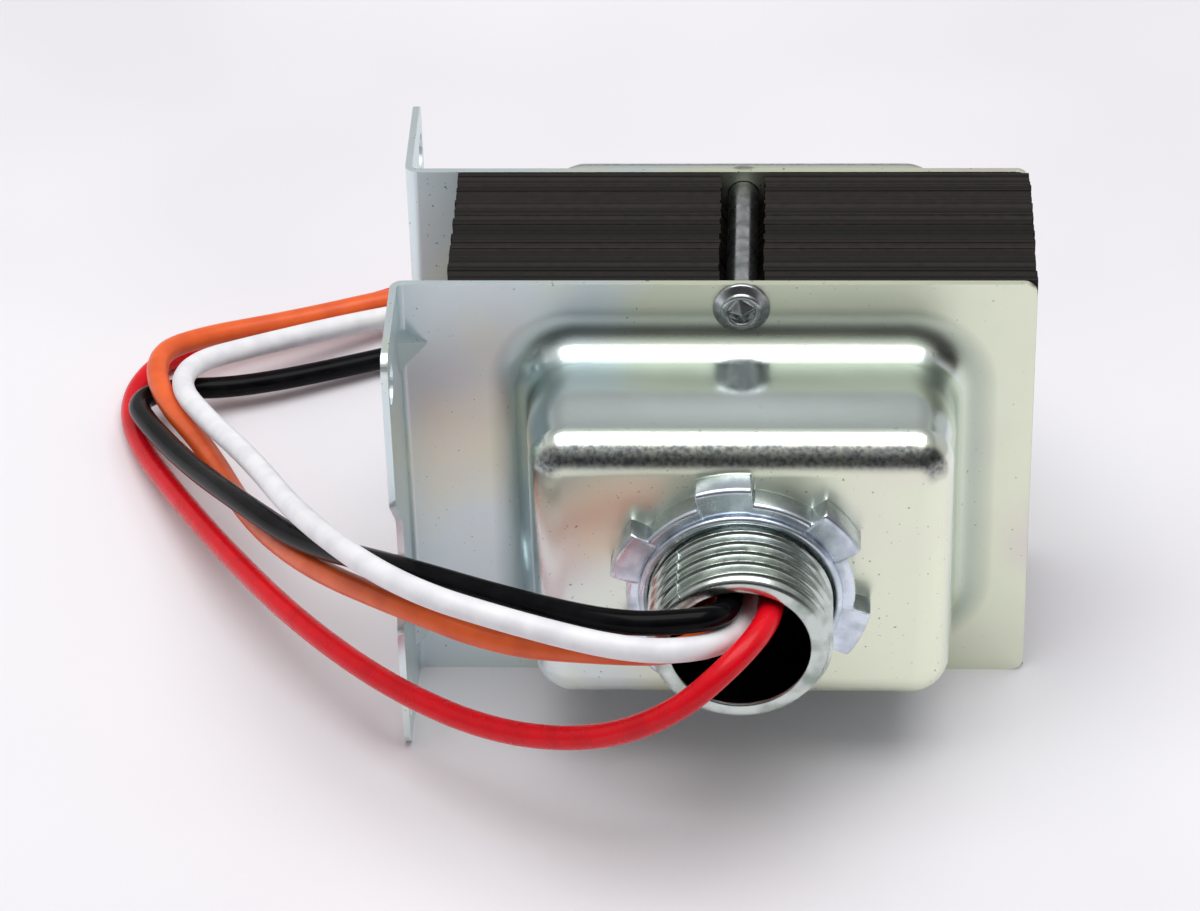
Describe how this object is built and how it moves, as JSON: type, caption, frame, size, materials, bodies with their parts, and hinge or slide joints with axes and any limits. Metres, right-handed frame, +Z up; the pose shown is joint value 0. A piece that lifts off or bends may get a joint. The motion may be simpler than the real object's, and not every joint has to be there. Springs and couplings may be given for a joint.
{
  "type": "control transformer",
  "caption": "Foot-mounted 24 V control transformer: open laminated core between two drawn steel covers with right-angle feet, a threaded conduit hub and four flying primary leads",
  "frame": {"origin": "the centre of the four foot holes, on the mounting plane that the two foot flanges share", "axes": "+X leaves the mounting plane into the transformer; -Y is the way the conduit hub points, through the lamination stack; +Z is up as it stands in the picture"},
  "size_m": [0.1146, 0.1355, 0.056],
  "materials": {
    "cover_zinc": "zinc-plated sheet steel with a pale yellow-green chromate film",
    "core_steel": "silicon steel edges under near-black varnish",
    "bobbin_nylon": "moulded natural nylon",
    "winding_copper": "enamelled copper wire",
    "coil_tape": "adhesive paper tape",
    "rivet_steel": "zinc-plated rivet steel, burnished where it is rolled",
    "hub_zinc": "bright zinc-plated turned steel",
    "locknut_zinc": "bright zinc-plated stamped steel",
    "bushing_fibre": "black vulcanised fibre",
    "splice_sleeve": "varnished fibreglass sleeving",
    "board_phenolic": "black moulded phenolic",
    "terminal_brass": "plain brass",
    "screw_nickel": "nickel-plated steel",
    "black_insulation": "black vinyl wire insulation",
    "white_insulation": "white vinyl wire insulation, left without print",
    "orange_insulation": "orange vinyl wire insulation",
    "red_insulation": "red vinyl wire insulation",
    "bare_copper": "bare twisted copper strands"
  },
  "bodies": {
    "root": {"front_cover": "cover_zinc", "rear_cover": "cover_zinc", "e_laminations": "core_steel", "i_laminations": "core_steel", "bobbin": "bobbin_nylon", "primary_winding": "winding_copper", "primary_tape": "coil_tape", "secondary_winding": "winding_copper", "secondary_tape": "coil_tape", "top_rivet": "rivet_steel", "bottom_rivet": "rivet_steel", "conduit_hub": "hub_zinc", "hub_locknut": "locknut_zinc", "lead_bushing": "bushing_fibre", "lead_splices": "splice_sleeve", "terminal_board": "board_phenolic", "terminal_plates": "terminal_brass", "terminal_screws": "screw_nickel", "board_eyelets": "terminal_brass", "secondary_tails": "splice_sleeve", "black_lead": "black_insulation", "white_lead": "white_insulation", "orange_lead": "orange_insulation", "red_lead": "red_insulation", "black_strands": "bare_copper", "white_strands": "bare_copper", "orange_strands": "bare_copper", "red_strands": "bare_copper"}
  },
  "joints": []
}
